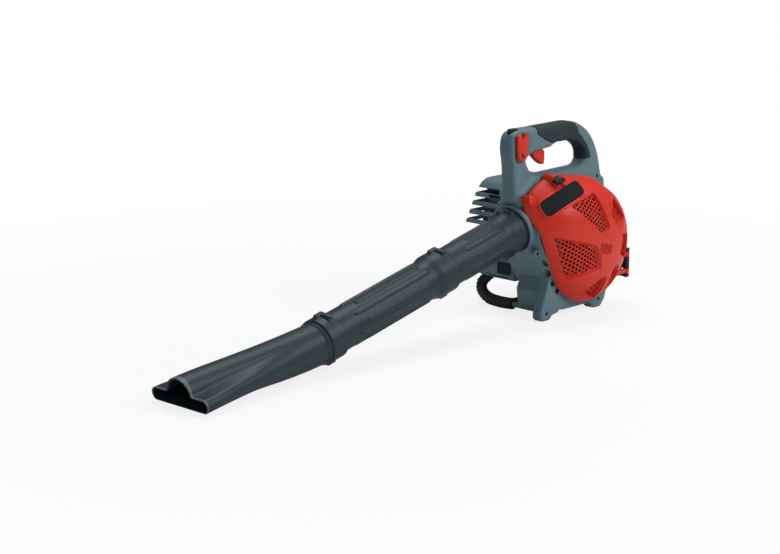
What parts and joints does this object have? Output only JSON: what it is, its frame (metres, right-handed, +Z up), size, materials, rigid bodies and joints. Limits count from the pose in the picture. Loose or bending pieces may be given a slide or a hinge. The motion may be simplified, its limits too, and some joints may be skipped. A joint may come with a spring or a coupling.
{
  "type": "handheld leaf blower",
  "caption": "Hand-held petrol leaf blower: fan casing with domed perforated cover, closed loop handle, engine behind, sloping sectional tube and flared nozzle.",
  "frame": {"origin": "centre of the footprint of the whole machine, on the ground", "axes": "+Z up; the air leaves towards -X; the intake cover faces -Y and the engine +Y"},
  "size_m": [1.078, 0.2582, 0.3587],
  "materials": {
    "grey_plastic": "blue-grey moulded plastic, fine grain",
    "red_plastic": "bright red moulded plastic",
    "duct_plastic": "near-black plastic with a green tint",
    "black_plastic": "black moulded plastic",
    "rubber": "black rubber",
    "steel": "machined or zinc-plated steel",
    "cast_alloy": "die-cast light alloy",
    "foam": "open-cell foam",
    "cord": "braided cord"
  },
  "bodies": {
    "housing": {"handle_grip": "rubber", "trigger_pin": "steel", "lever_screw": "steel", "case_left": "grey_plastic", "case_right": "grey_plastic", "hinge_bracket": "black_plastic", "hinge_pin": "steel", "fan_side_bearing": "steel", "starter_side_bearing": "steel", "crankcase": "cast_alloy", "cylinder": "cast_alloy", "spark_plug": "steel", "plug_cap": "rubber", "ignition_coil": "black_plastic", "muffler": "steel", "engine_cover": "grey_plastic", "fuel_tank": "grey_plastic", "label_plate": "black_plastic", "intake_spacer": "black_plastic", "carburettor": "cast_alloy", "air_cleaner_base": "black_plastic", "air_filter": "foam", "air_cleaner_cover": "black_plastic", "fuel_line": "rubber", "return_line": "rubber", "ignition_lead": "rubber", "throttle_cable": "rubber", "starter_housing": "black_plastic", "stand_hoop": "black_plastic", "case_screw_duct": "steel", "case_screw_foot": "steel", "case_screw_rear_foot": "steel", "case_screw_handle": "steel"},
    "trigger": {"throttle_trigger": "red_plastic"},
    "hold_lever": {"cruise_lever": "red_plastic"},
    "switch": {"stop_switch": "black_plastic"},
    "cover": {"fan_cover": "red_plastic", "badge_plate": "black_plastic"},
    "cover_screw": {"cover_knob": "black_plastic"},
    "upper_tube": {"blow_tube_upper": "duct_plastic"},
    "lower_tube": {"blow_tube_lower": "duct_plastic"},
    "nozzle_end": {"nozzle": "duct_plastic"},
    "rotor": {"impeller": "black_plastic", "impeller_nut": "steel", "crankshaft_fan_end": "steel", "crankshaft_starter_end": "steel", "flywheel": "cast_alloy", "starter_cup": "steel"},
    "piston_group": {"piston": "cast_alloy", "wrist_pin": "steel", "connecting_rod": "steel", "crank_pin": "steel"},
    "carb_arm": {"throttle_arm": "steel"},
    "choke": {"choke_lever": "black_plastic"},
    "primer": {"primer_bulb": "rubber"},
    "tank_cap": {"fuel_cap": "black_plastic"},
    "filter_knob": {"air_cleaner_knob": "black_plastic"},
    "pull_handle": {"starter_handle": "black_plastic", "starter_rope": "cord"},
    "reel": {"starter_reel": "black_plastic"}
  },
  "joints": [
    {"name": "trigger_pull", "type": "hinge", "parent": "housing", "child": "trigger", "pos_m": [0.32105, -0.02178, 0.32608], "axis": [0, -1, 0], "range_deg": [0, 15], "stiffness_Nm_per_rad": 0.08, "springref_deg": -11.46},
    {"name": "hold_lever_turn", "type": "hinge", "parent": "housing", "child": "hold_lever", "pos_m": [0.27204, -0.04178, 0.31108], "axis": [0, 1, 0], "range_deg": [0, 18]},
    {"name": "switch_rock", "type": "hinge", "parent": "housing", "child": "switch", "pos_m": [0.26704, -0.02178, 0.35208], "axis": [0, 1, 0], "range_deg": [-5, 5]},
    {"name": "cover_swing", "type": "hinge", "parent": "housing", "child": "cover", "pos_m": [0.53104, -0.08778, 0.07808], "axis": [0, 0, 1], "range_deg": [0, 100]},
    {"name": "cover_screw_turn", "type": "hinge", "parent": "cover", "child": "cover_screw", "pos_m": [0.33104, -0.07378, 0.26208], "axis": [0, 1, 0], "continuous": true},
    {"name": "crank_spin", "type": "hinge", "parent": "housing", "child": "rotor", "pos_m": [0.41704, 0.06222, 0.13208], "axis": [0, 1, 0], "continuous": true},
    {"name": "piston_stroke", "type": "slide", "parent": "housing", "child": "piston_group", "axis": [0, 0, -1], "range_m": [0, 0.028]},
    {"name": "upper_tube_twist", "type": "hinge", "parent": "housing", "child": "upper_tube", "pos_m": [0.27904, -0.02178, 0.17308], "axis": [-0.9724, 0, -0.2334], "range_deg": [0, 25]},
    {"name": "lower_tube_twist", "type": "hinge", "parent": "upper_tube", "child": "lower_tube", "pos_m": [0.08457, -0.02178, 0.12639], "axis": [-0.9724, 0, -0.2334], "range_deg": [0, 25]},
    {"name": "nozzle_twist", "type": "hinge", "parent": "lower_tube", "child": "nozzle_end", "pos_m": [-0.19547, -0.02178, 0.05915], "axis": [-0.9724, 0, -0.2334], "range_deg": [0, 25]},
    {"name": "throttle_arm_turn", "type": "hinge", "parent": "housing", "child": "carb_arm", "pos_m": [0.46904, 0.04972, 0.20408], "axis": [0, 0, 1], "range_deg": [0, 60]},
    {"name": "choke_turn", "type": "hinge", "parent": "housing", "child": "choke", "pos_m": [0.48905, 0.09022, 0.21408], "axis": [-1, 0, 0], "range_deg": [0, 45]},
    {"name": "primer_press", "type": "slide", "parent": "housing", "child": "primer", "axis": [0, -1, 0], "range_m": [0, 0.004], "stiffness_N_per_m": 200, "springref_m": -0.001, "deforming": ["primer_bulb"]},
    {"name": "tank_cap_turn", "type": "hinge", "parent": "housing", "child": "tank_cap", "pos_m": [0.49205, 0.09922, 0.10408], "axis": [0, 0, 1], "continuous": true},
    {"name": "filter_knob_turn", "type": "hinge", "parent": "housing", "child": "filter_knob", "pos_m": [0.53104, 0.06222, 0.21408], "axis": [1, 0, 0], "continuous": true},
    {"name": "starter_pull", "type": "slide", "parent": "housing", "child": "pull_handle", "axis": [1, 0, 0], "range_m": [0, 0.6], "stiffness_N_per_m": 10, "springref_m": -0.3, "deforming": ["starter_rope"]},
    {"name": "reel_turn", "type": "hinge", "parent": "housing", "child": "reel", "pos_m": [0.41704, 0.10922, 0.13208], "axis": [0, 1, 0], "continuous": true}
  ],
  "couplings": [
    {"joint": "throttle_arm_turn", "follows": "trigger_pull", "ratio": 4},
    {"joint": "reel_turn", "follows": "starter_pull", "rad_per_m": 33.333}
  ]
}
